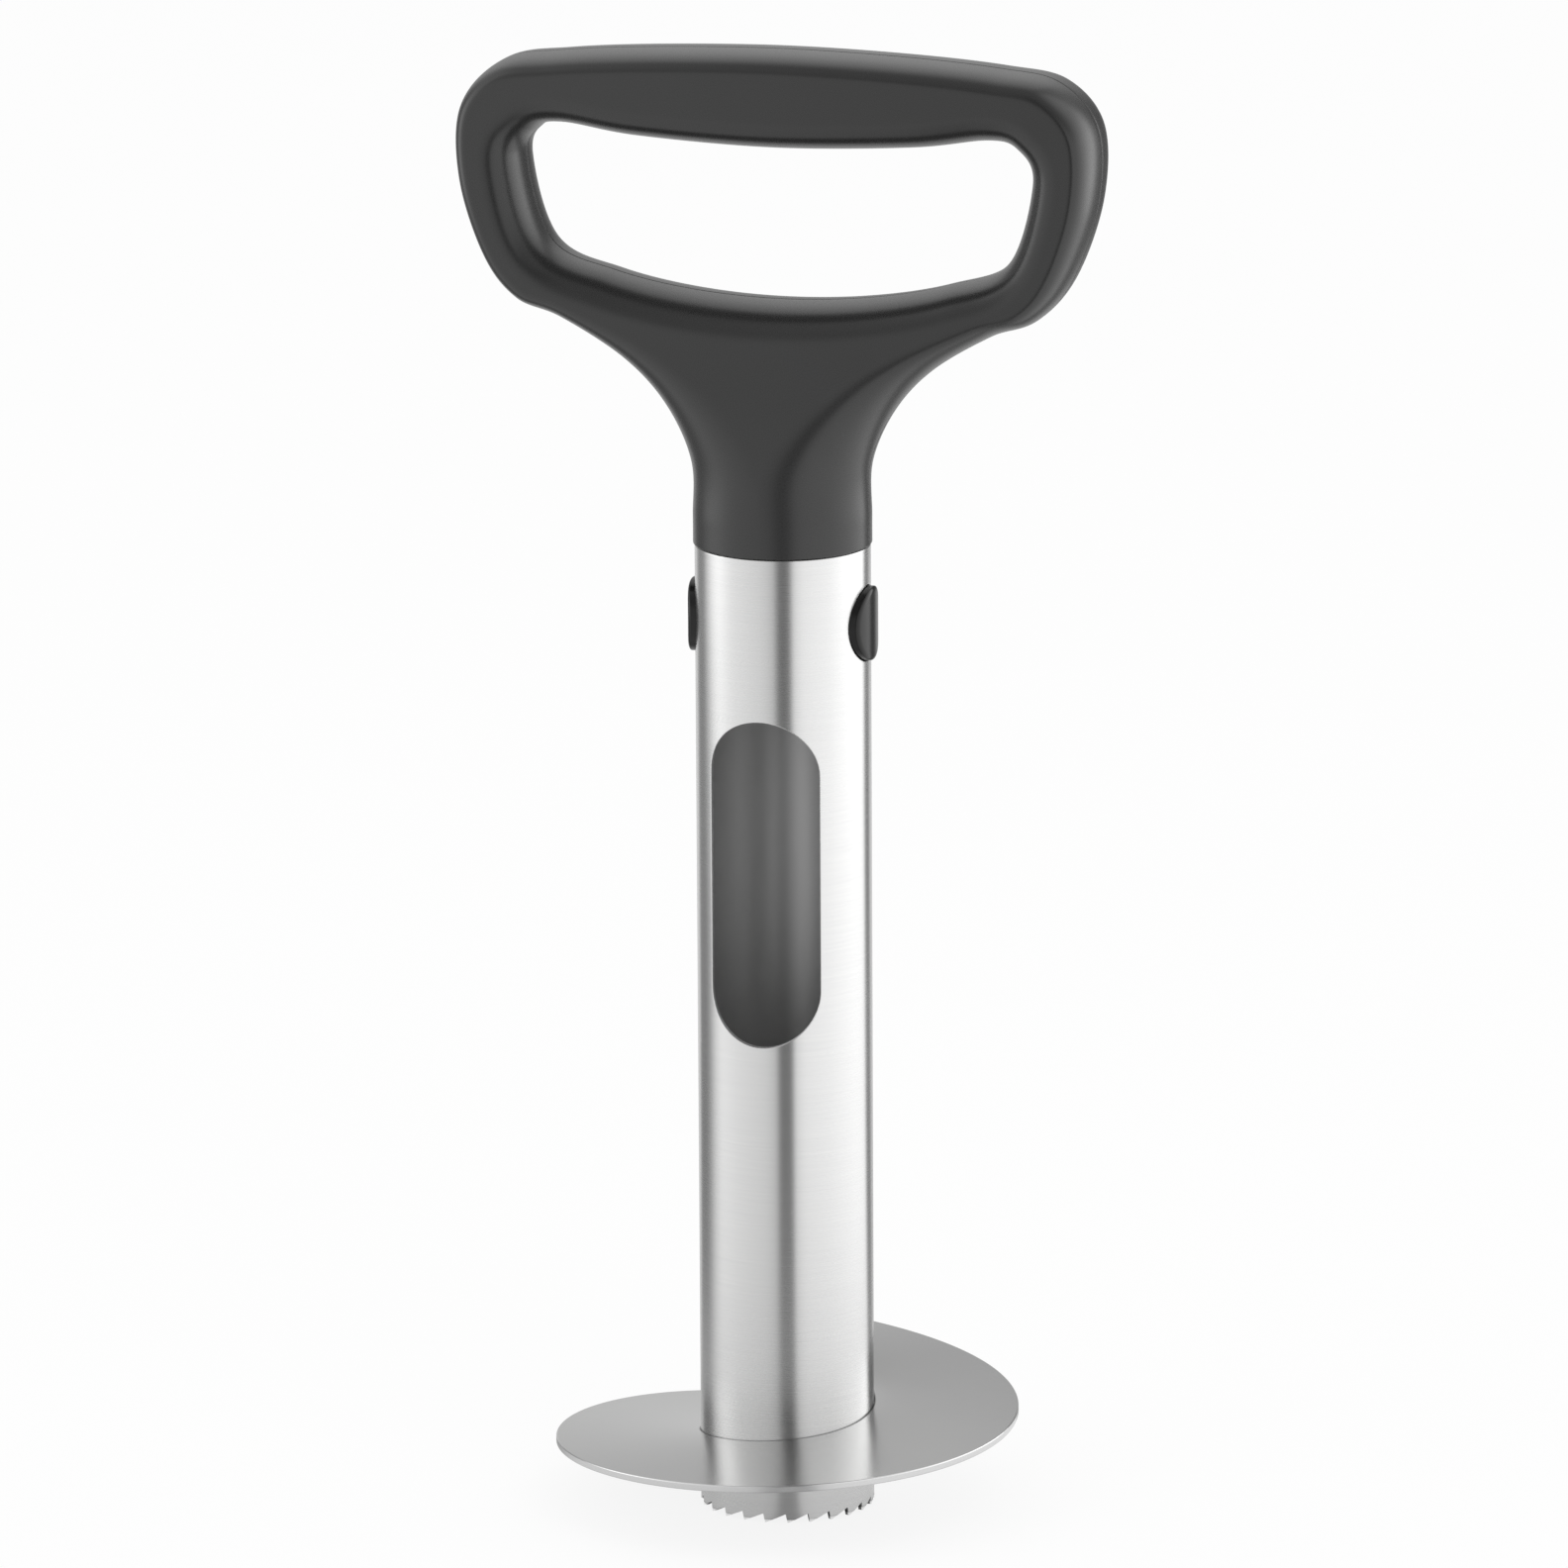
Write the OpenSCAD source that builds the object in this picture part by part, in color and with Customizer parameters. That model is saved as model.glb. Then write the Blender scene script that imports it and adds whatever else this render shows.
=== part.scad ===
// Pineapple corer and slicer: a toothed steel tube with a helical slicing blade,
// and a loop handle that plugs into the tube and is locked there by two sprung buttons.
// Millimetres. The origin is on the tube's axis at the tooth tips, +Z up. The handle's
// loop lies across X, and the window in the tube faces -Y.

/* [Tube] */
// Outer radius of the coring tube
tube_r = 16; // [14:0.5:18]
// Wall thickness of the coring tube
tube_wall = 1; // [0.8:0.1:1.2]
// Height of the tube from the tooth tips to its top edge
tube_h = 180.7; // [175:0.1:190]
// Number of saw teeth round the lower edge
tooth_count = 24; // [18:1:30]
// Depth of the saw teeth
tooth_depth = 1.7; // [1:0.1:2.5]
// Angle from +X to the middle of the first gap between teeth
tooth_turn = 8.25; // [0:0.25:15]
// Width of the window
window_w = 20.4; // [14:0.2:21]
// Height of the window's lower end
window_bottom = 90; // [60:1:100]
// Height of the window's upper end
window_top = 150.6; // [130:0.1:150.6]

/* [Slicing blade] */
// Radius of the blade's rim
blade_r = 42.7; // [35:0.1:45]
// Thickness of the blade
blade_t = 1.3; // [1:0.1:1.6]
// Height of the blade's top surface at the front of its rim
blade_front_z = 14.8; // [13:0.1:18]
// Steady part of the blade's climb in half a turn
blade_climb = 4.3; // [3:0.1:5]
// Extra climb towards the two cut ends
blade_end_climb = 4.2; // [3:0.1:4.5]
// How much higher the blade's inner edge is than its rim
blade_dish = 0.8; // [0:0.1:1.2]

/* [Handle] */
// Height of the loop's top edge at the middle
handle_top = 271.4; // [268:0.1:276]
// Radius of the round neck above the tube
neck_r = 16.3; // [16.2:0.1:16.6]
// Half of the loop's depth from front to back
loop_half_depth = 10.5; // [10:0.1:13]
// Width of the rounded shoulder along the loop's outer edge
outer_shoulder_w = 3.5; // [3:0.1:5]
// Width of the rounded shoulder along the edge of the hand opening
hole_shoulder_w = 6.2; // [5:0.1:6.5]
// How square the shoulders are, where 2 is an ellipse
shoulder_power = 2.3; // [2:0.1:3]
// Wall thickness of the two shells
shell_wall = 2.2; // [1.8:0.1:2.6]

/* [Lock] */
// Height of the buttons' axis
button_z = 166.7; // [166:0.1:167.5]
// Radius of a button's cap
button_r = 6.8; // [6.5:0.1:7.2]
// Radius of a button's face, which curves round the tube's axis like the tube itself
button_face = 17.3; // [17:0.1:18]
// How far a button is pressed in to free the tube
button_travel = 3.2; // [3:0.1:3.2]

/* [Hidden] */
$fn = 96;

steel = "#b9b9b8";
plastic = "#404040";
inner_plastic = "#2e2e2e";

bore_r = tube_r - tube_wall;
// The top of the bore is reamed a little wider to seat the lock housing
seat_r = bore_r + 0.3;
seat_z = 152;
tooth_angle = 360 / tooth_count;
// Circumferential lean of a tooth's steep face
tooth_lean = 0.36;
hole_gap = 0.2;
side_hole_r = button_r + hole_gap;

// The housing fills the seat, with a cavity for each button on both sides of a middle web
slide_gap = 0.1;
plug_r = seat_r - slide_gap;
cover_z = seat_z + 0.3;
cover_t = 2.4;
plug_z = cover_z + cover_t;
web_half = 1.5;
cavity_r = 8.3;
cavity_end = 11.2;
tang_r = neck_r - shell_wall - 0.2;
tang_top = 200;
pin_r = 2;
pin_x = 6;
pin_z = 190.7;
pin_half = 13.9;
fit_gap = 0.02;
groove_z = 177.8;
ring_r = 0.8;
ring_major = seat_r - ring_r - fit_gap;
groove_depth = 1.55;
screw_y = 11.6;
screw_r = 1.25;
screw_len = 8;
head_r = 2.1;
head_h = 1.4;
recess_gap = 0.15;

// A button is a cap, a flange that stops it in the housing, and a spigot for the spring
flange_r = 8.1;
flange_front = cavity_end - 0.1;
flange_back = 9.4;
spigot_r = 2.6;
// Room left between the spigot and the middle web when the button is pressed
pressed_gap = 1.7;
spigot_end = web_half + pressed_gap + button_travel;
cap_edge_w = 0.9;
cap_edge_drop = 0.45;
cap_sides = 48;
cap_rings = 6;
spring_r = 3.4;
wire_r = 0.35;
spring_turns = 5;
spring_steps = 16;
wire_sides = 6;

// ---------------------------------------------------------------- small functions

function mix(a, b, t) = a + (b - a) * t;
function ease(t) = let (c = min(max(t, 0), 1)) c * c * (3 - 2 * c);
function flip(points) = [for (i = [len(points) - 1:-1:0]) [-points[i][0], points[i][1]]];

// A point on a smooth curve between b and c, with a and d as their neighbours
function curve_point(a, b, c, d, t) =
    (2 * b + (c - a) * t + (2 * a - 5 * b + 4 * c - d) * t * t
     + (3 * b - a - 3 * c + d) * t * t * t) / 2;

// ---------------------------------------------------------------- handle outlines

// Right half of each outline as [x, z, steps to the next point], from the top middle
// down to the bottom middle. The steps pair the two outlines' points across the loop.
outer_shape = [
    [0, handle_top, 4], [22.8, handle_top - 0.6, 4], [40.7, handle_top - 1.9, 4],
    [52, handle_top - 4, 4], [59, 259.4, 3], [59.2, 246, 3], [54.6, 232, 2],
    [48.3, 224.2, 3], [40, 221, 4], [28.5, 214, 3], [21, 206, 3], [16.5, 196, 2],
    [neck_r, 186, 1], [neck_r, tube_h, 0]];
hole_shape = [
    [0, 253.7, 5], [25.5, 254.8, 3], [39.7, 256.7, 4], [45.2, 255.3, 4], [47.7, 249.5, 6],
    [43.1, 234.6, 8], [31.3, 229.6, 8], [16.5, 226.7, 10], [0, 225.7, 0]];
neck_steps = 8;
last_rows = 8;
rows = [for (i = [0:last_rows]) (1 - cos(180 * i / last_rows)) / 2];

// The curve through one half of an outline. Its ends go on as their mirror image.
function half_curve(s, upright_end) =
    let (n = len(s), p = [for (q = s) [q[0], q[1]]],
         before = [-p[1][0], p[1][1]],
         after = upright_end ? [p[n - 1][0], 2 * p[n - 1][1] - p[n - 2][1]]
                             : [-p[n - 2][0], p[n - 2][1]],
         all = concat([before], p, [after]))
    concat([for (i = [0:n - 2], k = [0:s[i][2] - 1])
            curve_point(all[i], all[i + 1], all[i + 2], all[i + 3], k / s[i][2])],
           [p[n - 1]]);

flank = half_curve(outer_shape, true);
hole_half = half_curve(hole_shape, false);
// The neck's lower end closes the outer outline
neck_end = [for (k = [1:neck_steps]) [neck_r * cos(90 * k / neck_steps), tube_h]];
outer_half = concat(flank, neck_end);

// The full outlines run clockwise from the top middle, and the mirror image follows
function whole(half) = concat(half, [for (i = [len(half) - 2:-1:1]) [-half[i][0], half[i][1]]]);
outer_line = whole(outer_half);
hole_line = whole(hole_half);
flank_line = concat(flip(flank), flank);

// Every point of a closed outline moved sideways by a distance
function moved(line, distance) =
    let (n = len(line))
    [for (i = [0:n - 1])
        let (t = line[(i + 1) % n] - line[(i + n - 1) % n], u = t / norm(t))
        line[i] + distance * [-u[1], u[0]]];

// The outer outline moved in by the wall, but its lower end only drawn in sideways
function drawn_in(wall) =
    let (line = moved(outer_line, -wall), k = (neck_r - wall) / neck_r)
    [for (i = [0:len(line) - 1])
        outer_line[i][1] <= tube_h + 6 ? [outer_line[i][0] * k, outer_line[i][1]] : line[i]];

function point_to_edge(p, a, b) =
    let (ab = b - a, t = min(max((p - a) * ab / (ab * ab), 0), 1))
    norm(p - a - t * ab);
function distance_to(p, line) =
    min([for (i = [0:len(line) - 2]) point_to_edge(p, line[i], line[i + 1])]);

// Half of the handle's depth at a point of its front view, less the wall
function half_depth(p, wall) =
    let (t = ease((p[1] - 192) / 38),
         depth = mix(neck_r, loop_half_depth, t) - wall,
         shoulder = mix(neck_r, outer_shoulder_w, t) - wall,
         power = mix(2, shoulder_power, t),
         edge = max(0, 1 - max(0, distance_to(p, flank_line) - wall) / shoulder),
         hole_shoulder = hole_shoulder_w - wall,
         hole_edge = max(0, 1 - max(0, distance_to(p, closed_hole) - wall) / hole_shoulder))
    depth * pow(max(0, 1 - pow(edge, power) - pow(hole_edge, power)), 1 / power);
closed_hole = concat(hole_line, [hole_line[0]]);

stations = len(outer_line);
// One half of the handle as a solid with a flat back, drawn in by a wall, and the back
// and the lower end moved out by an overrun
module handle_half(wall, overrun) {
    outside = wall == 0 ? outer_line : drawn_in(wall);
    inside = moved(hole_line, wall);
    flat = [for (v = rows, i = [0:stations - 1])
            let (p = mix(inside[i], outside[i], v))
            [p[0], v == 1 && p[1] < tube_h + 0.01 ? tube_h - overrun : p[1]]];
    front = [for (k = [0:len(flat) - 1])
             let (side = k < stations || (k >= last_rows * stations
                         && outside[k % stations][1] > tube_h + 0.01))
             [flat[k][0], side ? 0 : -half_depth(flat[k], wall), flat[k][1]]];
    back = [for (q = flat) [q[0], overrun, q[1]]];
    m = len(flat);
    skin = [for (r = [0:last_rows - 1], i = [0:stations - 1])
            let (j = (i + 1) % stations, a = r * stations)
            [a + j, a + i, a + stations + i, a + stations + j]];
    inner_rim = [for (i = [0:stations - 1]) let (j = (i + 1) % stations) [i, j, m + j, m + i]];
    outer_rim = [for (i = [0:stations - 1])
                 let (j = (i + 1) % stations, a = last_rows * stations)
                 [a + j, a + i, m + a + i, m + a + j]];
    if (overrun > 0)
        polyhedron(concat(front, back), split(concat(
            skin, [for (f = skin) [for (k = [3:-1:0]) f[k] + m]], inner_rim, outer_rim)));
    else
        flat_backed(front, flat, skin, m);
}

// Faces cut into triangles, without those that have no area
function split(faces) = [for (f = faces, k = [1:len(f) - 2])
    if (f[0] != f[k] && f[k] != f[k + 1] && f[k + 1] != f[0]) [f[0], f[k], f[k + 1]]];

// The same half when its back is exactly at Y = 0, where the skin's own edges meet it
module flat_backed(front, flat, skin, m) {
    edge = [for (k = [0:m - 1]) front[k][1] == 0 ? k : m + k];
    back = [for (q = flat) [q[0], 0, q[1]]];
    last = last_rows * stations;
    lower = [for (i = [0:stations - 1])
             let (j = (i + 1) % stations, a = last + i, b = last + j)
             if (edge[a] != a || edge[b] != b) [b, a, edge[a], edge[b]]];
    polyhedron(concat(front, back), split(concat(
        skin, [for (f = skin) [for (k = [3:-1:0]) edge[f[k]]]], lower)));
}

// Half of the handle hollowed out, with ribs across the loop and pockets for the pins
rib_t = 1.6;
rib_places = [-34, -17, 0, 17, 34];
module handle_shell() {
    difference() {
        handle_half(0, 0);
        difference() {
            handle_half(shell_wall, 1);
            for (x = rib_places)
                translate([x - rib_t / 2, -loop_half_depth, 250])
                    cube([rib_t, 2 * loop_half_depth, 30]);
        }
        for (x = [-pin_x, pin_x])
            translate([x, 0, pin_z])
                rotate([90, 0, 0])
                    cylinder(r = pin_r + fit_gap, h = pin_half + fit_gap, $fn = 32);
    }
}

module handle_front_shell() {
    color(plastic) resize([0, 0, 0]) handle_shell();
}

module handle_rear_shell() {
    color(plastic) resize([0, 0, 0]) mirror([0, 1, 0]) handle_shell();
}

// ---------------------------------------------------------------- tube and blade

// The gap in front of a tooth's tip, cut straight through the wall
module tooth_gap() {
    w = bore_r * tan(tooth_angle / 2);
    translate([bore_r - 2, 0, 0])
        rotate([90, 0, 90])
            linear_extrude(tube_wall + 4)
                polygon([[-w, -1], [w, -1], [w, 0], [w - tooth_lean, tooth_depth], [-w, 0]]);
}

module window_cut() {
    r = window_w / 2;
    rotate([90, 0, 0])
        linear_extrude(tube_r + 2)
            union() {
                translate([0, window_bottom + r]) circle(r);
                translate([0, window_top - r]) circle(r);
                translate([-r, window_bottom + r])
                    square([window_w, window_top - window_bottom - window_w]);
            }
}

module core_tube() {
    color(steel) difference() {
        cylinder(r = tube_r, h = tube_h);
        translate([0, 0, -1]) cylinder(r = bore_r, h = tube_h + 2);
        translate([0, 0, seat_z]) cylinder(r = seat_r, h = tube_h);
        for (i = [0:tooth_count - 1]) rotate(tooth_turn + i * tooth_angle) tooth_gap();
        window_cut();
        translate([0, 0, button_z])
            rotate([0, 90, 0]) cylinder(r = side_hole_r, h = 4 * tube_r, center = true);
    }
}

// Height of the blade's top surface, with u from -1 at its leading end to 1 at its
// trailing end. The two ends meet at the back of the tube, one above the other.
function blade_z(u, radius) =
    blade_front_z + blade_climb * u + blade_end_climb * pow(u, 3)
    + blade_dish * (blade_r - radius) / (blade_r - tube_r);

blade_stations = 96;
blade_edge = 0.35;
// Part of the blade's turn over which its leading end is ground to an edge
ground_share = 0.05;
end_gap = 0.004;

// The blade's section at u as [radius, z] points, thinned where it is ground
function blade_section(u) =
    let (thin = mix(0.25, 1, min(1, (u + 1) / (2 * ground_share))),
         inner = tube_r + fit_gap, e = blade_edge)
    [for (q = [[inner, 0], [(inner + blade_r) / 2, 0], [blade_r - e, 0],
               [blade_r, e], [blade_r, blade_t - e], [blade_r - e, blade_t],
               [(inner + blade_r) / 2, blade_t], [inner, blade_t]])
        [q[0], blade_z(u, q[0]) - blade_t + (blade_t - q[1]) * thin]];

module slicing_blade() {
    n = len(blade_section(0));
    points = [for (i = [0:blade_stations])
              let (u = mix(-1 + end_gap, 1 - end_gap, i / blade_stations), a = 180 * u - 90)
              for (q = blade_section(u)) [q[0] * cos(a), q[0] * sin(a), q[1]]];
    sides = [for (i = [0:blade_stations - 1], k = [0:n - 1])
             let (a = i * n, j = (k + 1) % n) [a + k, a + n + k, a + n + j, a + j]];
    ends = [[for (k = [0:n - 1]) k], [for (k = [n - 1:-1:0]) blade_stations * n + k]];
    color(steel) polyhedron(points, split(concat(sides, ends)));
}

// ---------------------------------------------------------------- lock

// Along X, from the middle web outwards on one side
module housing_cavity() {
    translate([web_half, 0, button_z])
        rotate([0, 90, 0]) cylinder(r = cavity_r, h = cavity_end - web_half);
    translate([web_half, -cavity_r, plug_z - 1])
        cube([cavity_end - web_half, 2 * cavity_r, button_z - plug_z + 1]);
    translate([cavity_end - 1, 0, button_z])
        rotate([0, 90, 0]) cylinder(r = side_hole_r, h = tube_r);
}

module both_sides() {
    children();
    mirror([1, 0, 0]) children();
}

module lock_housing() {
    color(inner_plastic) difference() {
        union() {
            translate([0, 0, plug_z]) cylinder(r = plug_r, h = tube_h - plug_z);
            translate([0, 0, plug_z]) cylinder(r = tang_r, h = tang_top - plug_z);
        }
        both_sides() housing_cavity();
        translate([0, 0, groove_z])
            rotate_extrude()
                translate([plug_r - groove_depth, -ring_r - fit_gap])
                    square([groove_depth + 1, 2 * (ring_r + fit_gap)]);
        for (x = [-pin_x, pin_x])
            translate([x, tang_r + 1, pin_z])
                rotate([90, 0, 0]) cylinder(r = pin_r + fit_gap, h = 2 * tang_r + 2);
        for (y = [-screw_y, screw_y])
            translate([0, y, plug_z - 1])
                cylinder(r = screw_r + fit_gap, h = screw_len);
    }
}

// Closes the housing from below, with a saddle under each button's cavity
module lock_cover() {
    side_gap = 0.15;
    w = cavity_r - side_gap;
    color(inner_plastic) difference() {
        union() {
            translate([0, 0, cover_z]) cylinder(r = plug_r, h = cover_t);
            both_sides()
                translate([web_half + side_gap, -w, cover_z])
                    cube([cavity_end - web_half - 2 * side_gap, 2 * w, button_z - cover_z - 3]);
        }
        translate([0, 0, button_z])
            rotate([0, 90, 0]) cylinder(r = cavity_r + side_gap, h = 4 * tube_r, center = true);
        for (y = [-screw_y, screw_y]) translate([0, y, cover_z]) {
            translate([0, 0, -1]) cylinder(r = screw_r + recess_gap, h = cover_t + 2);
            translate([0, 0, -1]) cylinder(r = head_r + recess_gap, h = head_h + 1);
        }
    }
}

module cover_screws() {
    slot_w = 0.7;
    color(steel) for (y = [-screw_y, screw_y]) translate([0, y, cover_z])
        difference() {
            union() {
                cylinder(r = head_r, h = head_h);
                cylinder(r = screw_r, h = screw_len);
            }
            for (a = [0, 90]) rotate(a)
                translate([-1.2, -slot_w / 2, -1]) cube([2.4, slot_w, 1.7]);
        }
}

module tang_pins() {
    color(steel) for (x = [-pin_x, pin_x])
        translate([x, pin_half, pin_z]) rotate([90, 0, 0]) cylinder(r = pin_r, h = 2 * pin_half);
}

module seal_ring() {
    color("#1c1c1c") translate([0, 0, groove_z])
        rotate_extrude() translate([ring_major, 0]) circle(ring_r);
}

// A button's cap, seen along its axis as rings of points, with a curved face and a rounded edge
module button_cap() {
    rim = button_r - cap_edge_w;
    rings = concat(
        [for (k = [1:cap_rings]) [rim * k / cap_rings, 0]],
        [for (a = [30:30:90]) [rim + cap_edge_w * sin(a), cap_edge_drop * (1 - cos(a))]]);
    face = [for (q = rings, i = [0:cap_sides - 1])
            let (a = 360 * i / cap_sides, y = q[0] * cos(a))
            [sqrt(button_face * button_face - y * y) - q[1], y, q[0] * sin(a)]];
    back = [for (i = [0:cap_sides - 1])
            let (a = 360 * i / cap_sides) [flange_front - 0.5, button_r * cos(a), button_r * sin(a)]];
    n = len(rings);
    points = concat([[button_face, 0, 0]], face, back);
    middle = [for (i = [0:cap_sides - 1]) [0, 1 + (i + 1) % cap_sides, 1 + i]];
    sides = [for (r = [0:n - 1], i = [0:cap_sides - 1])
             let (a = 1 + r * cap_sides, j = (i + 1) % cap_sides)
             [a + i, a + j, a + cap_sides + j, a + cap_sides + i]];
    end = [for (i = [0:cap_sides - 1]) 1 + n * cap_sides + i];
    polyhedron(points, concat(middle, split(sides), [end]));
}

// A cap, a flange that stops it in the housing and a spigot that holds the spring
module button() {
    color(plastic) translate([0, 0, button_z]) {
        button_cap();
        rotate([0, 90, 0]) {
            translate([0, 0, flange_back]) cylinder(r = flange_r, h = flange_front - flange_back);
            translate([0, 0, spigot_end]) cylinder(r = spigot_r, h = flange_front - spigot_end);
        }
    }
}

module button_left() {
    mirror([1, 0, 0]) button();
}

module button_right() {
    button();
}

// A wire wound about the X axis, between the middle web and the button's flange
module spring() {
    start = web_half + wire_r;
    length = flange_back - web_half - 2 * wire_r;
    last = spring_turns * spring_steps;
    points = [for (i = [0:last], k = [0:wire_sides - 1])
              let (a = 360 * i / spring_steps, b = 360 * k / wire_sides,
                   r = spring_r + wire_r * cos(b))
              [start + length * i / last + wire_r * sin(b), r * cos(a), r * sin(a)]];
    sides = [for (i = [0:last - 1], k = [0:wire_sides - 1])
             let (a = i * wire_sides, j = (k + 1) % wire_sides)
             [a + j, a + wire_sides + j, a + wire_sides + k, a + k]];
    ends = [[for (k = [wire_sides - 1:-1:0]) k], [for (k = [0:wire_sides - 1]) last * wire_sides + k]];
    color(steel) translate([0, 0, button_z]) polyhedron(points, split(concat(sides, ends)));
}

module spring_left() {
    mirror([1, 0, 0]) spring();
}

module spring_right() {
    spring();
}

core_tube();
slicing_blade();
handle_front_shell();
handle_rear_shell();
lock_housing();
lock_cover();
cover_screws();
tang_pins();
seal_ring();
button_left();
button_right();
spring_left();
spring_right();
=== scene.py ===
"""A pineapple corer and slicer, dressed for its studio picture.

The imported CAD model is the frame. The tube, the blade, the handle shells, the buttons and the
springs get finer meshes that stand for their CAD nodes, and the other nodes keep their CAD shape
and get a finish. Lengths are in millimetres until make_piece() turns them into metres.
"""

import math

import bmesh
import bpy
import numpy as np
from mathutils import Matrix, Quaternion, Vector


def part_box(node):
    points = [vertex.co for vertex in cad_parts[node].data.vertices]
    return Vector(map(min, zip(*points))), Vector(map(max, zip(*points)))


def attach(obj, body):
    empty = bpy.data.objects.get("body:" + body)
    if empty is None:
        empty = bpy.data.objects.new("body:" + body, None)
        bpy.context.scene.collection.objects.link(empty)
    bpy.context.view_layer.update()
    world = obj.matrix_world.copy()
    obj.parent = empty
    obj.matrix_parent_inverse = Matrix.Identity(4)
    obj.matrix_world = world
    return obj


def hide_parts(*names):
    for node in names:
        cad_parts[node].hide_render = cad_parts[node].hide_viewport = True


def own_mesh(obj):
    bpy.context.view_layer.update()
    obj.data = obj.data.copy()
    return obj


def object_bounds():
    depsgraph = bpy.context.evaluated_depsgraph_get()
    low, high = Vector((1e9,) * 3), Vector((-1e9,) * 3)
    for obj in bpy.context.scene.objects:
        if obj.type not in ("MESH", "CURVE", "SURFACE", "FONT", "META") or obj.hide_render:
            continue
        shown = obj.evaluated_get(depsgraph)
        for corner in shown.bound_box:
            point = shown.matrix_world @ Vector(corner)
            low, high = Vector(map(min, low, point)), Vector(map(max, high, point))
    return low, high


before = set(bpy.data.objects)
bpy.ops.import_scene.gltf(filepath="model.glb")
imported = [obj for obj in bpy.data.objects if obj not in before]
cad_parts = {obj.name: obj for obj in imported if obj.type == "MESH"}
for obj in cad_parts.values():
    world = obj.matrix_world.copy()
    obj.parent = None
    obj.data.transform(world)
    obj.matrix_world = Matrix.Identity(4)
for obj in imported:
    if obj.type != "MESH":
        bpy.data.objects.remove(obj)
cad_low, cad_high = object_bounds()

MM = 0.001
# In millimetres, well below any size here
TINY = 0.001


def box_mm(node):
    """A CAD node's lowest and highest corner in millimetres."""
    low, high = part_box(node)
    return low / MM, high / MM


# ---------------------------------------------------------------- sizes

TUBE_R = box_mm("core_tube")[1].x
TUBE_H = box_mm("core_tube")[1].z
BORE_R = TUBE_R - 1.0
SEAT_R = BORE_R + 0.3
SEAT_Z = 152.0
TOOTH_COUNT = 24
TOOTH_DEPTH = 1.7
TOOTH_LEAN = 0.36
TOOTH_TIP_ANGLE = 0.75
WINDOW_R = 10.2
WINDOW_LOW, WINDOW_HIGH = 90.0, 150.6
BUTTON_HOLE_R = 7.0

BLADE_R = box_mm("slicing_blade")[1].x
BLADE_T = 1.3
BLADE_FRONT_Z = 14.8
BLADE_CLIMB = 4.3
BLADE_END_CLIMB = 4.2
BLADE_DISH = 0.8
GROUND_SHARE = 0.05

HANDLE_TOP = box_mm("handle_front_shell")[1].z
NECK_R = 16.3
LOOP_HALF_DEPTH = 10.5
OUTER_SHOULDER_W = 3.5
HOLE_SHOULDER_W = 6.2
SHOULDER_POWER = 2.3
SHELL_WALL = 2.2

BUTTON_FACE = box_mm("button_right")[1].x
BUTTON_Z = (box_mm("button_right")[0].z + box_mm("button_right")[1].z) / 2
BUTTON_FLANGE_R = box_mm("button_right")[1].y
BUTTON_R = 6.8
BUTTON_EDGE_WIDTH, BUTTON_EDGE_DROP = 0.9, 0.45
WEB_HALF = 1.5
FLANGE_BACK, FLANGE_FRONT = 9.4, 11.1


# ---------------------------------------------------------------- meshes

def add_object(name, data):
    thing = bpy.data.objects.new(name, data)
    bpy.context.collection.objects.link(thing)
    return thing


def make_piece(name, points, faces, finish, body, stands_for, normals=None, sharp=30):
    """A mesh object in metres that rides on a CAD body and stands for one CAD node."""
    mesh = bpy.data.meshes.new(name)
    mesh.from_pydata((np.asarray(points, float) * MM).tolist(), [], [tuple(map(int, f)) for f in faces])
    shape = bmesh.new()
    shape.from_mesh(mesh)
    bmesh.ops.recalc_face_normals(shape, faces=shape.faces)
    shape.to_mesh(mesh)
    shape.free()
    mesh.shade_smooth()
    if normals is None:
        mesh.set_sharp_from_angle(angle=math.radians(sharp))
    else:
        mesh.normals_split_custom_set_from_vertices(np.asarray(normals, float).tolist())
    mesh.materials.append(finish)
    piece = add_object(name, mesh)
    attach(piece, body)
    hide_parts(stands_for)
    return piece


def grid_faces(rows, columns, close_rows=False):
    """Quads between neighbouring rows of points, where each row is a closed ring of that many."""
    faces = []
    for r in range(rows if close_rows else rows - 1):
        for c in range(columns):
            a, b = r * columns, (r + 1) % rows * columns
            d = (c + 1) % columns
            faces.append((a + c, a + d, b + d, b + c))
    return faces


def unit(vectors):
    """The vectors at length 1."""
    vectors = np.asarray(vectors, float)
    return vectors / np.maximum(np.linalg.norm(vectors, axis=-1, keepdims=True), 1e-12)


def smoothstep(t):
    t = np.clip(t, 0, 1)
    return t * t * (3 - 2 * t)


# ---------------------------------------------------------------- handle

# Right half of each outline as (x, z, steps to the next point), from the top middle down to the
# bottom middle. The steps pair the two outlines' points across the loop.
OUTER_SHAPE = [
    (0, HANDLE_TOP, 4), (22.8, HANDLE_TOP - 0.6, 4), (40.7, HANDLE_TOP - 1.9, 4),
    (52, HANDLE_TOP - 4, 4), (59, 259.4, 3), (59.2, 246, 3), (54.6, 232, 2), (48.3, 224.2, 3),
    (40, 221, 4), (28.5, 214, 3), (21, 206, 3), (16.5, 196, 2), (NECK_R, 186, 1),
    (NECK_R, TUBE_H, 0)]
HOLE_SHAPE = [
    (0, 253.7, 5), (25.5, 254.8, 3), (39.7, 256.7, 4), (45.2, 255.3, 4), (47.7, 249.5, 4),
    (43.1, 234.6, 5), (31.3, 229.6, 8), (16.5, 226.7, 15), (0, 225.7, 0)]
NECK_STEPS = 8
# Points within each step
FINE = 5
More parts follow.
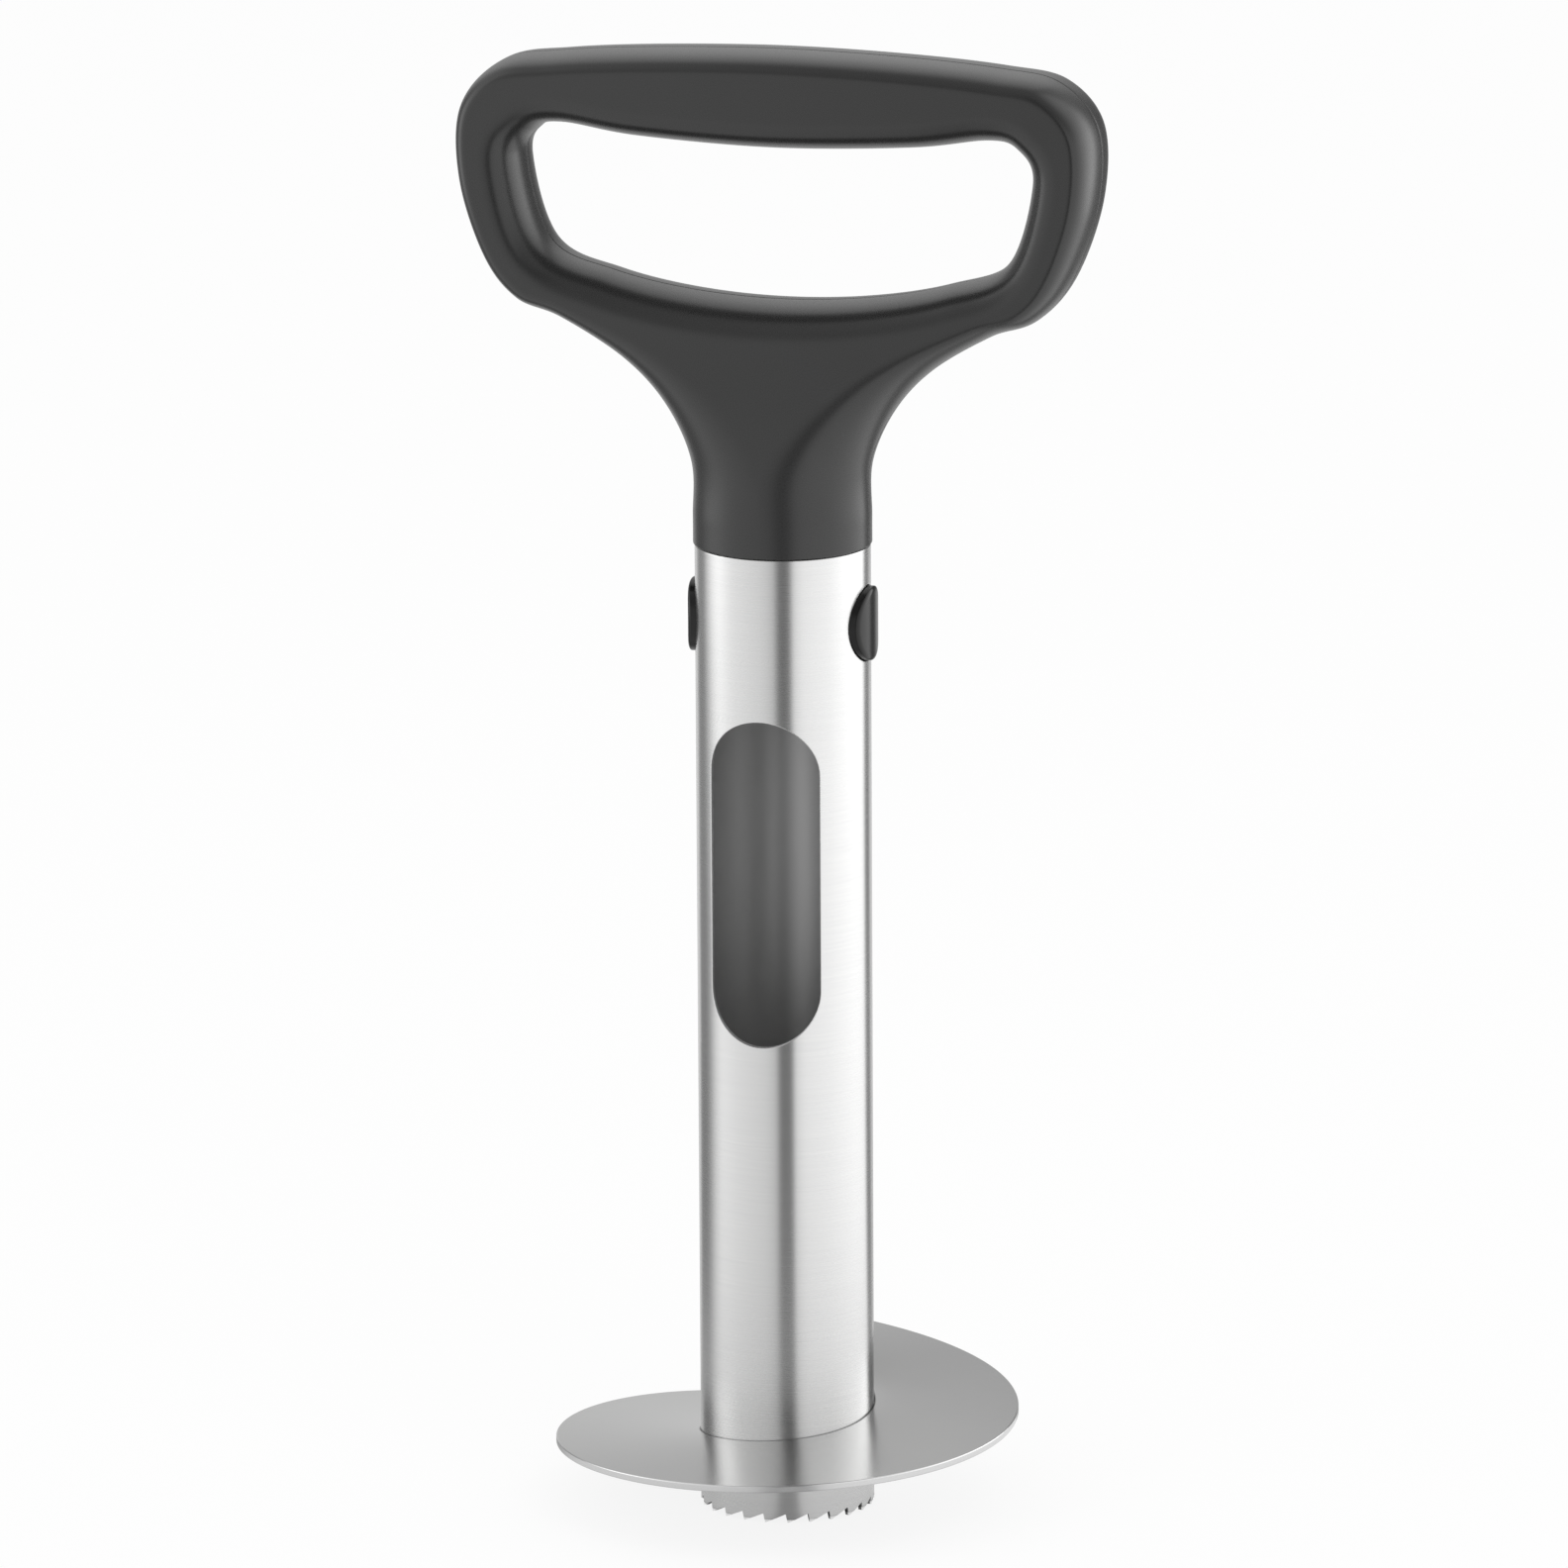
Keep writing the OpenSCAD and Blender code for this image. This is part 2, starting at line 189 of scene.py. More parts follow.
# Where the round neck starts to turn into the flatter loop, over what rise, and the neck's power
BLEND_START, BLEND_RISE = 192.0, 38.0
NECK_POWER = 2.0
SKIN_ROWS = 56
INNER_ROWS = 14
SEAM_EDGE = 0.25
NECK_GAP = 0.15
NECK_EDGE = 0.3
# The neck's lowest stretch, which is straight inside
STRAIGHT_END = 6.0
EDGE_ANGLES = np.radians([22.5, 45, 67.5, 90])


def half_curve(shape, upright_end):
    """The smooth curve through half an outline. Its ends go on as their mirror image."""
    knots = np.array([k[:2] for k in shape], float)
    before = knots[1] * (-1, 1)
    after = knots[-2] * (-1, 1)
    if upright_end:
        after = np.array((knots[-1][0], 2 * knots[-1][1] - knots[-2][1]))
    run = np.vstack([before, knots, after])
    parts = []
    for i, (_, _, steps) in enumerate(shape[:-1]):
        a, b, c, d = run[i:i + 4]
        t = (np.arange(steps * FINE) / (steps * FINE))[:, None]
        parts.append((2 * b + (c - a) * t + (2 * a - 5 * b + 4 * c - d) * t ** 2
                      + (3 * b - a - 3 * c + d) * t ** 3) / 2)
    return np.vstack(parts + [knots[-1:]])


def whole(half):
    """The full closed outline, clockwise from the top middle."""
    return np.vstack([half, half[-2:0:-1] * (-1, 1)])


FLANK = half_curve(OUTER_SHAPE, True)
NECK_END = np.array([(NECK_R * math.cos(math.pi / 2 * k / (NECK_STEPS * FINE)), TUBE_H)
                     for k in range(1, NECK_STEPS * FINE + 1)])
FLANK[:, 0] *= box_mm("handle_front_shell")[1].x / FLANK[:, 0].max()
NECK_END[:, 0] *= FLANK[-1, 0] / NECK_R
OUTER_LINE = whole(np.vstack([FLANK, NECK_END]))
HOLE_LINE = whole(half_curve(HOLE_SHAPE, False))
FLANK_LINE = np.vstack([FLANK[::-1] * (-1, 1), FLANK])
STATIONS = len(OUTER_LINE)
LOW_END = OUTER_LINE[:, 1] < TUBE_H + TINY
AT_NECK_END = LOW_END & (np.abs(OUTER_LINE[:, 0]) < NECK_R - TINY)
AT_CORNER = LOW_END & ~AT_NECK_END


def sideways(line):
    """Unit vectors square to a closed outline, on its left."""
    along = unit(np.roll(line, -1, 0) - np.roll(line, 1, 0))
    return np.stack([-along[:, 1], along[:, 0]], 1)


def distance_to(points, line):
    """How far each point is from an open line."""
    a, ab = line[:-1], line[1:] - line[:-1]
    length = np.maximum((ab ** 2).sum(1), 1e-12)
    t = np.clip(((points[:, None] - a) * ab).sum(2) / length, 0, 1)
    return np.sqrt((((points[:, None] - a) - t[..., None] * ab) ** 2).sum(2).min(1))


def half_depth(points, wall):
    """Half of the handle's depth at points of its front view, less the wall."""
    t = smoothstep((points[:, 1] - BLEND_START) / BLEND_RISE)
    depth = NECK_R + (LOOP_HALF_DEPTH - NECK_R) * t - wall
    shoulder = NECK_R + (OUTER_SHOULDER_W - NECK_R) * t - wall
    power = NECK_POWER + (SHOULDER_POWER - NECK_POWER) * t
    from_flank = np.maximum(distance_to(points, FLANK_LINE) - wall, 0)
    from_hole = np.maximum(distance_to(points, np.vstack([HOLE_LINE, HOLE_LINE[:1]])) - wall, 0)
    edge = np.maximum(1 - from_flank / shoulder, 0)
    hole_edge = np.maximum(1 - from_hole / (HOLE_SHOULDER_W - wall), 0)
    return depth * np.maximum(1 - edge ** power - hole_edge ** power, 0) ** (1 / power)


def skin_row(inner_line, outer_line, v, wall):
    """A row of the front face, a share v of the way from an inner line to an outer one."""
    flat = inner_line + (outer_line - inner_line) * v
    return np.stack([flat[:, 0], -half_depth(flat, wall), flat[:, 1]], 1)


def shell_points():
    """The front shell as a closed loop of rows: skin, seam edge, inside, and the hole's edge."""
    skin_line = OUTER_LINE.copy()
    skin_line[LOW_END, 1] += NECK_GAP + NECK_EDGE
    skin = [skin_row(HOLE_LINE, skin_line, (1 - math.cos(math.pi * i / SKIN_ROWS)) / 2, 0)
            for i in range(SKIN_ROWS + 1)]
    hole_rim, rim = skin[0], skin[-1]
    for row in (hole_rim, rim):
        row[:, 1] = np.minimum(row[:, 1], -SEAM_EDGE)

    # Into the material and down to the seam's face, for each point of the outer rim
    inward = np.zeros((STATIONS, 3))
    inward[:, [0, 2]] = -sideways(OUTER_LINE) * SEAM_EDGE
    round_the_neck = unit(rim * (-1, -1, 0)) * NECK_EDGE
    inward[LOW_END] = round_the_neck[LOW_END]
    inward[AT_CORNER, 1] = 0
    down = np.tile((0.0, SEAM_EDGE, 0.0), (STATIONS, 1))
    down[AT_NECK_END] = (0, 0, -NECK_EDGE)
    down[AT_CORNER] = (0, SEAM_EDGE, -NECK_EDGE)
    outer_edge = [rim + inward * (1 - math.cos(a)) + down * math.sin(a) for a in EDGE_ANGLES]

    hole_inward = np.zeros((STATIONS, 3))
    hole_inward[:, [0, 2]] = sideways(HOLE_LINE) * SEAM_EDGE
    hole_down = np.array((0, SEAM_EDGE, 0))
    hole_edge = [hole_rim + hole_inward * (1 - math.cos(a)) + hole_down * math.sin(a)
                 for a in EDGE_ANGLES[::-1]]

    drawn_in = OUTER_LINE - sideways(OUTER_LINE) * SHELL_WALL
    near_end = OUTER_LINE[:, 1] <= TUBE_H + STRAIGHT_END
    drawn_in[near_end] = OUTER_LINE[near_end] * ((NECK_R - SHELL_WALL) / NECK_R, 1)
    hole_out = HOLE_LINE + sideways(HOLE_LINE) * SHELL_WALL
    inside = [skin_row(hole_out, drawn_in, (1 + math.cos(math.pi * i / INNER_ROWS)) / 2, SHELL_WALL)
              for i in range(INNER_ROWS + 1)]
    for row in inside:
        row[:, 1] = np.minimum(row[:, 1], 0)
    return np.vstack(skin + outer_edge + inside + hole_edge)


def make_shells(finish):
    """The front shell and its mirror image behind it."""
    points = shell_points()
    rows = len(points) // STATIONS
    faces = grid_faces(rows, STATIONS, close_rows=True)
    make_piece("grip_shell_front", points, faces, finish, "body",
               "handle_front_shell", sharp=50)
    make_piece("grip_shell_rear", points * (1, -1, 1), faces, finish, "body",
               "handle_rear_shell", sharp=50)


# ---------------------------------------------------------------- tube

TOOTH_EDGE = 0.04
CUT_EDGE = 0.2
END_EDGE = 0.25
SLOPE_STEPS = 8
CORNER_GAP = 0.09
FACE_STOPS = (0.05, 0.5, 0.975)
OPENING_MARGIN = 3.0
# Half of the turn round the tube, in degrees, that each opening takes out of the grid
WINDOW_TURN, BUTTON_HOLE_TURN = 64, 42
# From the grid round an opening to its edge, closing in
CLOSING_IN = (0.75, 0.52, 0.33, 0.18, 0.08, 0.02, 0)
TOOTH_PITCH = 2 * math.pi * TUBE_R / TOOTH_COUNT


def tooth_profile():
    """One tooth's lower edge from its tip to the next, as (arc length, height, down normal).

    It climbs a long slope to the gap's root and drops down the next tooth's steep face. Two
    points close together stand for each corner.
    """
    run, drop = TOOTH_PITCH - TOOTH_LEAN, TOOTH_DEPTH
    slope_normal = unit((drop, -run))
    face_normal = unit((-drop, -TOOTH_LEAN))
    near = CORNER_GAP / run
    points = [(run * t, drop * t, *slope_normal) for t in np.linspace(near, 1 - near, SLOPE_STEPS)]
    for t in FACE_STOPS:
        points.append((run + TOOTH_LEAN * t, drop * (1 - t), *face_normal))
    return np.array(points)


def tube_columns():
    """Every tooth's profile round the tube, as (angle in radians, height, normal along, normal up)."""
    one = tooth_profile()
    columns = []
    for i in range(TOOTH_COUNT):
        turn = math.radians(TOOTH_TIP_ANGLE) + 2 * math.pi * i / TOOTH_COUNT
        columns.append(np.column_stack([one[:, 0] / TUBE_R + turn, one[:, 1:]]))
    return np.vstack(columns)


class Surface:
    """Points, normals and faces collected patch by patch."""

    def __init__(self):
        self.points, self.normals, self.faces = [], [], []

    def add(self, points, normals):
        start = len(self.points)
        self.points.extend(np.asarray(points, float).tolist())
        self.normals.extend(np.broadcast_to(np.asarray(normals, float), (len(points), 3)).tolist())
        return np.arange(start, len(self.points))

    def bridge(self, a, b):
        """Quads between two closed rings with the same number of points."""
        for i in range(len(a)):
            j = (i + 1) % len(a)
            self.faces.append((a[i], a[j], b[j], b[i]))

    def used(self):
        """The points and normals that faces use, and the faces renumbered to them."""
        keep, places = np.unique(np.array(self.faces), return_inverse=True)
        return (np.array(self.points)[keep], np.array(self.normals)[keep],
                places.reshape(-1, 4).tolist())


def round_tube(angle, z, radius):
    """Points at angles round the tube's axis."""
    return np.stack([radius * np.cos(angle), radius * np.sin(angle), z + 0 * angle], -1)


class Opening:
    """A hole with straight parallel sides through the tube's wall: a circle or a long round-ended
    slot, seen square on from an angle round the tube."""

    def __init__(self, facing, radius, low, high, half_turn):
        self.facing, self.radius = math.radians(facing), radius
        self.low, self.high = low, high
        self.half_turn = math.radians(half_turn)

    def directions(self, turn, z):
        """From the slot's middle line towards points beside it, and the point on that line."""
        spine = np.clip(z, self.low, self.high)
        return unit(np.stack([turn * TUBE_R, z - spine], -1)), spine

    def on_wall(self, across, z, tube_radius):
        """The (turn, z) on the tube of points given in the square-on view."""
        return np.arcsin(across / tube_radius), z

    def place(self, turn, z, tube_radius):
        return round_tube(self.facing + turn, z, tube_radius)


def rounded_lip(edge, wall):
    """(offset from the cut, depth in the wall, share of the cut's normal, side) from the outer
    surface, round the outer corner, through the wall and round the inner corner."""
    outer = [(edge * (1 - math.sin(a)), edge * (1 - math.cos(a)), math.sin(a), 1) for a in EDGE_ANGLES]
    inner = [(edge * (1 - math.cos(a)), wall - edge * (1 - math.sin(a)), math.cos(a), -1)
             for a in [0, *EDGE_ANGLES[:-1]]]
    return outer + inner


def add_sheet(surface, rows, radii, openings, outward):
    """One side of the tube's wall. rows hold (angles, heights) of each ring of points."""
    rings = []
    for (angles, heights), radius in zip(rows, radii):
        around = round_tube(angles, heights, radius)
        rings.append(surface.add(around, outward * unit(around * (1, 1, 0))))
    columns = rows[1][0]
    cut = np.zeros((len(rows) - 1, len(columns)), bool)
    rims = []
    for opening in openings:
        turns = (columns - opening.facing + math.pi) % (2 * math.pi) - math.pi
        order = np.argsort(turns)
        inside = order[np.abs(turns[order]) < opening.half_turn]
        heights = np.array([h[0] for _, h in rows])
        margin = opening.radius + OPENING_MARGIN
        picked = [r for r in range(2, len(rows) - 1)
                  if opening.low - margin <= heights[r] <= opening.high + margin]
        if opening.low < SEAT_Z:
            picked = [r for r in picked if heights[r] <= SEAT_Z]
        radius = radii[picked[0]]
        for r in picked[:-1]:
            cut[r, inside[:-1]] = True
        ring = ([(picked[0], c) for c in inside] + [(r, inside[-1]) for r in picked[1:-1]]
                + [(picked[-1], c) for c in inside[::-1]]
                + [(r, inside[0]) for r in picked[-2:0:-1]])
        ids = np.array([rings[r][c] for r, c in ring])
        turn = np.array([turns[c] for _, c in ring])
        z = np.array([heights[r] for r, _ in ring])
        direction, spine = opening.directions(turn, z)
        reach = opening.radius + CUT_EDGE
        edge_turn, edge_z = opening.on_wall(direction[:, 0] * reach, spine + direction[:, 1] * reach,
                                            radius)
        previous = ids
        for share in CLOSING_IN:
            p = opening.place(edge_turn + (turn - edge_turn) * share, edge_z + (z - edge_z) * share,
                              radius)
            new = surface.add(p, outward * unit(p * (1, 1, 0)))
            surface.bridge(previous, new)
            previous = new
        rims.append((previous, direction, spine, radius))
    for r in range(len(rows) - 1):
        for c in range(len(columns)):
            if not cut[r, c]:
                d = (c + 1) % len(columns)
                surface.faces.append((rings[r][c], rings[r][d], rings[r + 1][d], rings[r + 1][c]))
    return rings, rims


def add_opening_wall(surface, opening, outer_rim, inner_rim):
    """The cut face of an opening, with rounded corners, between the two sides of the wall."""
    outer_ids, direction, spine, outer_radius = outer_rim
    inner_ids, inner_radius = inner_rim[0], inner_rim[3]
    previous = outer_ids
    side = np.array((-math.sin(opening.facing), math.cos(opening.facing), 0))
    for offset, depth, share, facing_out in rounded_lip(CUT_EDGE, outer_radius - inner_radius):
        reach = opening.radius + offset
        turn, z = opening.on_wall(direction[:, 0] * reach, spine + direction[:, 1] * reach,
                                  outer_radius - depth)
        p = opening.place(turn, z, outer_radius - depth)
        cut_normal = -(direction[:, :1] * side + direction[:, 1:] * (0, 0, 1))
        face_normal = facing_out * unit(p * (1, 1, 0))
        new = surface.add(p, unit(cut_normal * share + face_normal * math.sqrt(1 - share ** 2)))
        surface.bridge(previous, new)
        previous = new
    surface.bridge(previous, inner_ids)


def add_edge_wall(surface, edge, outer_ids, inner_ids, inner_radius, angle, z, along, up):
    """The cut face along an end of the tube, where along and up give the end's normal."""
    previous = outer_ids
    for offset, depth, share, facing_out in rounded_lip(edge, TUBE_R - inner_radius):
        turned = angle - along * offset / TUBE_R
        p = round_tube(turned, z - up * offset, TUBE_R - depth)
        tangent = np.stack([-np.sin(turned), np.cos(turned), 0 * turned], 1)
        cut_normal = along[:, None] * tangent + up[:, None] * (0, 0, 1)
        face_normal = facing_out * unit(p * (1, 1, 0))
        new = surface.add(p, unit(cut_normal * share + face_normal * math.sqrt(1 - share ** 2)))
        surface.bridge(previous, new)
        previous = new
    surface.bridge(previous, inner_ids)


def make_tube(finish):
    """Both sides of the wall, the window and button holes through it, the teeth and the top end."""
    columns = tube_columns()
    angle, tooth_z, along, up = columns.T
    flat = np.zeros_like(angle)
    # Rings of points up the tube, closer beside the openings, with two where the bore steps out
    heights = np.concatenate([[2.5, 3.6, 5.0], np.arange(8, 83, 3), np.arange(84, SEAT_Z + 1, 2),
                              [SEAT_Z + TINY, 154.5], np.arange(156.5, 177, 1.275), [178.9]])
    tooth_row = (angle - along * TOOTH_EDGE / TUBE_R, tooth_z - up * TOOTH_EDGE)
    top_row = (angle, flat + TUBE_H - END_EDGE)
    rows = [tooth_row] + [(angle, flat + h) for h in heights] + [top_row]
    outside = [TUBE_R] * len(rows)
    inside = [BORE_R if row[1].min() <= SEAT_Z else SEAT_R for row in rows]
    openings = [Opening(-90, WINDOW_R, WINDOW_LOW + WINDOW_R, WINDOW_HIGH - WINDOW_R, WINDOW_TURN),
                Opening(0, BUTTON_HOLE_R, BUTTON_Z, BUTTON_Z, BUTTON_HOLE_TURN),
                Opening(180, BUTTON_HOLE_R, BUTTON_Z, BUTTON_Z, BUTTON_HOLE_TURN)]
    surface = Surface()
    outer_rings, outer_rims = add_sheet(surface, rows, outside, openings, 1)
    inner_rings, inner_rims = add_sheet(surface, rows, inside, openings, -1)
    for opening, outer_rim, inner_rim in zip(openings, outer_rims, inner_rims):
        add_opening_wall(surface, opening, outer_rim, inner_rim)
    add_edge_wall(surface, TOOTH_EDGE, outer_rings[0], inner_rings[0], BORE_R, angle, tooth_z, along, up)
    add_edge_wall(surface, END_EDGE, outer_rings[-1], inner_rings[-1], SEAT_R, angle,
                  flat + TUBE_H, flat, flat + 1)
    points, normals, faces = surface.used()
    make_piece("coring_tube", points, faces, finish, "body", "core_tube",
               normals=normals)


# ---------------------------------------------------------------- blade

BLADE_STATIONS = 360
RIM_ROUND = 0.22
INNER_ROUND = 0.25
BLADE_END_GAP = 0.004
BLADE_RINGS = 9
WELD_GAP = 0.05
GROUND_THICKNESS = 0.25


def blade_height(u, radius):
    """Height of the top surface, with u from -1 at the leading end to 1 at the trailing end."""
    dish = BLADE_DISH * (BLADE_R - radius) / (BLADE_R - TUBE_R)
    return BLADE_FRONT_Z + BLADE_CLIMB * u + BLADE_END_CLIMB * u ** 3 + dish


def blade_profile():
    """The section as (radius, depth below the top, normal outwards, normal up), all round it."""
    inner = TUBE_R + WELD_GAP
    profile = []
    flat = np.linspace(inner + INNER_ROUND, BLADE_R - RIM_ROUND, BLADE_RINGS)
    corners = [(inner + INNER_ROUND, INNER_ROUND, INNER_ROUND, 180),
               (BLADE_R - RIM_ROUND, RIM_ROUND, RIM_ROUND, 90),
               (BLADE_R - RIM_ROUND, BLADE_T - RIM_ROUND, RIM_ROUND, 0),
               (inner + INNER_ROUND, BLADE_T - INNER_ROUND, INNER_ROUND, -90)]
    for k, (centre_r, centre_d, round_r, start) in enumerate(corners):
        for a in np.radians(np.linspace(start, start - 90, 7)):
            profile.append((centre_r + round_r * math.cos(a), centre_d - round_r * math.sin(a),
                            math.cos(a), math.sin(a)))
        if k == 0:
            profile += [(r, 0, 0, 1) for r in flat[1:-1]]
        if k == 2:
            profile += [(r, BLADE_T, 0, -1) for r in flat[-2:0:-1]]
    return np.array(profile)


def make_blade(finish):
    """The section swept once round the tube, thinner where the leading end is ground."""
    profile = blade_profile()
    count = len(profile)
    u = np.linspace(-1 + BLADE_END_GAP, 1 - BLADE_END_GAP, BLADE_STATIONS + 1)
    ground = np.clip((u + 1) / (2 * GROUND_SHARE), 0, 1)
    thin = GROUND_THICKNESS + (1 - GROUND_THICKNESS) * ground
    angle = math.pi * u - math.pi / 2
    radius, depth, out, up = profile.T
    z = blade_height(u[:, None], radius) - BLADE_T + (BLADE_T - depth) * thin[:, None]
    points = np.stack([radius * np.cos(angle[:, None]), radius * np.sin(angle[:, None]), z], -1)
    along = np.gradient(points, axis=0)
    outward = np.stack([np.cos(angle), np.sin(angle), 0 * angle], 1)[:, None]
    dish_slope = -BLADE_DISH / (BLADE_R - TUBE_R)
    section = -up[:, None] * outward + (out - up * dish_slope)[:, None] * (0, 0, 1)
    normals = unit(np.cross(section, along))
    flip = (normals * (out[:, None] * outward + up[:, None] * np.array((0, 0, 1)))).sum(-1) < 0
    normals[flip] *= -1
    surface = Surface()
    surface.add(points.reshape(-1, 3), normals.reshape(-1, 3))
    surface.faces = grid_faces(BLADE_STATIONS + 1, count)
    # The two cut ends are flat faces with normals of their own
    for station, step in ((0, 1), (-1, -1)):
        end_normal = unit(points[station] - points[station + step]).mean(0)
        rim = surface.add(points[station], end_normal)
        half = count // 2
        for i in range(half - 1):
            surface.faces.append((rim[i], rim[i + 1], rim[count - 2 - i], rim[count - 1 - i]))
    make_piece("blade_disc", np.array(surface.points), surface.faces, finish, "body",
               "slicing_blade", normals=np.array(surface.normals))


# ---------------------------------------------------------------- buttons and springs

BUTTON_SIDES = 192
FACE_RINGS = 16
SMALL_ROUND = 0.2
SPIGOT_R, SPIGOT_END = 2.6, 6.4
CAP_FOOT = 0.5
# Radius of the last small ring at each end, the second as a share of the face's radius
SPIGOT_CENTRE, FACE_CENTRE = 0.02, 0.003


def rounded(corners, steps=4):
    """A profile through corners of (along, radius, round), where each corner is rounded off."""
    points = []
    for i, (x, r, size) in enumerate(corners):
        here = np.array((x, r), float)
        if size == 0:
            points.append(here)
            continue
        back = unit(np.array(corners[i - 1][:2]) - here) * size
        on = unit(np.array(corners[i + 1][:2]) - here) * size
        for t in np.linspace(0, 1, steps + 1):
            points.append((1 - t) ** 2 * (here + back) + 2 * t * (1 - t) * here + t ** 2 * (here + on))
    return np.array(points)


def button_rings():
    """Rings of points round X: spigot and flange, then the cap with its rounded edge and its face,
    which curves round the tube's axis."""
    ring = np.arange(BUTTON_SIDES) * 2 * math.pi / BUTTON_SIDES
    body = rounded([(SPIGOT_END, SPIGOT_CENTRE, 0), (SPIGOT_END, SPIGOT_R, SMALL_ROUND),
                    (FLANGE_BACK, SPIGOT_R, SMALL_ROUND), (FLANGE_BACK, BUTTON_FLANGE_R, SMALL_ROUND),
                    (FLANGE_FRONT, BUTTON_FLANGE_R, SMALL_ROUND), (FLANGE_FRONT, BUTTON_R, 0),
                    (FLANGE_FRONT + CAP_FOOT, BUTTON_R, 0)])
    rows = [(np.full(BUTTON_SIDES, x), r) for x, r in body]
    rim = BUTTON_R - BUTTON_EDGE_WIDTH
    turned = [(rim + BUTTON_EDGE_WIDTH * math.cos(a), BUTTON_EDGE_DROP * (1 - math.sin(a)))
              for a in np.radians(np.arange(0, 91, 10))]
    turned += [(rim * v, 0) for v in np.linspace(1, FACE_CENTRE, FACE_RINGS)[1:]]
    for r, drop in turned:
        rows.append((np.sqrt(BUTTON_FACE ** 2 - (r * np.cos(ring)) ** 2) - drop, r))
    return np.vstack([np.stack([x, r * np.cos(ring), r * np.sin(ring)], 1) for x, r in rows]), len(rows)


def make_button(name, node, body, side, finish):
    points, count = button_rings()
    faces = grid_faces(count, BUTTON_SIDES)
    for first in (0, (count - 1) * BUTTON_SIDES):
        faces.append(tuple(range(first, first + BUTTON_SIDES)))
    make_piece(name, points * (side, 1, 1) + (0, 0, BUTTON_Z), faces, finish, body,
               node, sharp=40)


SPRING_R, WIRE_R = 3.4, 0.35
SPRING_TURNS = 5
SPRING_STEPS = 48
WIRE_SIDES = 14
END_TURN = 0.75
EASED_SHARE = 0.25


def make_spring(name, node, side, finish):
    """A wire wound round X, with its end turns closed."""
    t = np.linspace(0, SPRING_TURNS, SPRING_TURNS * SPRING_STEPS + 1)
    first, last = WEB_HALF + WIRE_R, FLANGE_BACK - WIRE_R
    # Mostly an even pitch between the flat end turns, eased a little where they meet
    eased = smoothstep((t - END_TURN / 2) / (SPRING_TURNS - END_TURN))
    even = np.clip((t - END_TURN) / (SPRING_TURNS - 2 * END_TURN), 0, 1)
    x = first + (last - first) * (EASED_SHARE * eased + (1 - EASED_SHARE) * even)
    turn = 2 * math.pi * t
    centre = np.stack([x, SPRING_R * np.cos(turn), SPRING_R * np.sin(turn)], 1)
    outwards = np.stack([0 * turn, np.cos(turn), np.sin(turn)], 1)
    b = np.arange(WIRE_SIDES) * 2 * math.pi / WIRE_SIDES
    points = (centre[:, None] + WIRE_R * np.cos(b)[None, :, None] * outwards[:, None]
              + WIRE_R * np.sin(b)[None, :, None] * np.array((1.0, 0, 0)))
    faces = grid_faces(len(t), WIRE_SIDES)
    faces += [tuple(range(WIRE_SIDES)), tuple(len(t) * WIRE_SIDES - 1 - k for k in range(WIRE_SIDES))]
    points = points.reshape(-1, 3) * (side, 1, 1) + (0, 0, BUTTON_Z)
    spring = make_piece(name, points, faces, finish, "body", node, sharp=60)
    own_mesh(spring)


# ---------------------------------------------------------------- finishes

